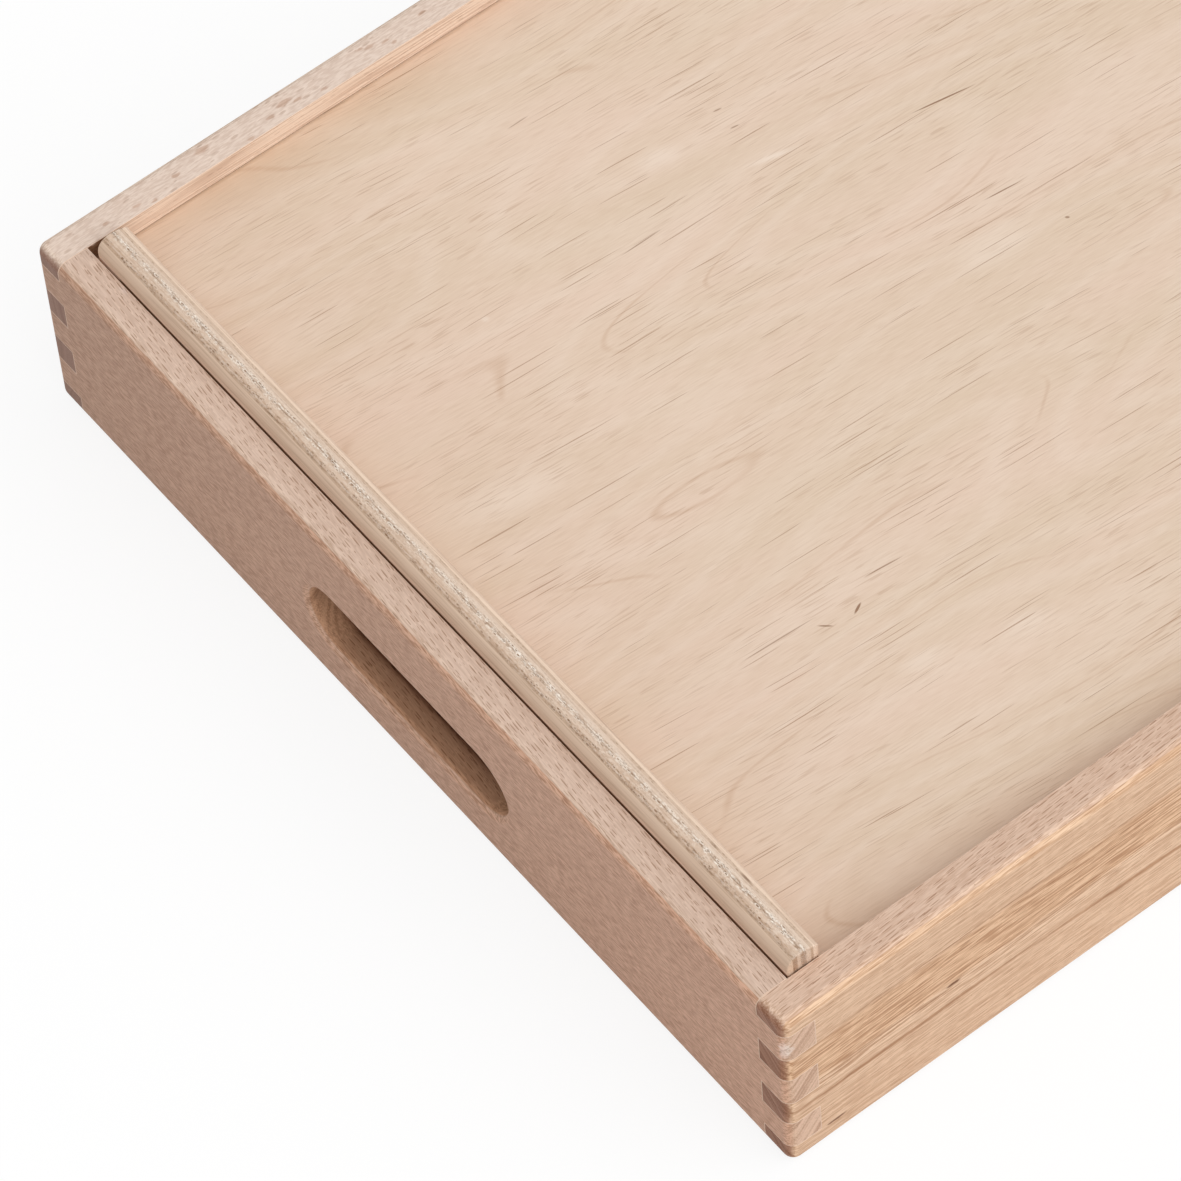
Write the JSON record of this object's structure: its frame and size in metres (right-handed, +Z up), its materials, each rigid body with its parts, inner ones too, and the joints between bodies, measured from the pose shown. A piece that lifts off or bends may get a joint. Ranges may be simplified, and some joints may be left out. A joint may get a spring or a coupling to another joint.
{
  "type": "sliding lid wooden tool box",
  "caption": "Shallow finger-jointed beech tool box with a hand slot in each end and a plywood lid that slides out towards the low end.",
  "frame": {"origin": "centre of the footprint, on the surface the box stands on", "axes": "+Z up, +Y from the lip end along the way the lid slides out, +X to the right across the box"},
  "size_m": [0.3, 0.4, 0.0692],
  "materials": {
    "beech": "solid beech, finely sanded, matt clear finish",
    "birch_plywood": "birch-faced plywood, sanded, matt clear finish",
    "lip_plywood": "thick birch plywood on edge, plies showing, sanded",
    "zinc_plated_steel": "bright zinc plated"
  },
  "bodies": {
    "box": {"front_board": "beech", "back_board": "beech", "left_side_board": "beech", "right_side_board": "beech", "bottom_panel": "birch_plywood"},
    "lid": {"lid_panel": "birch_plywood", "lid_lip": "lip_plywood", "lip_screws": "zinc_plated_steel"}
  },
  "joints": [
    {"name": "lid_slide", "type": "slide", "parent": "box", "child": "lid", "axis": [0, 1, 0], "range_m": [0, 0.396]}
  ]
}
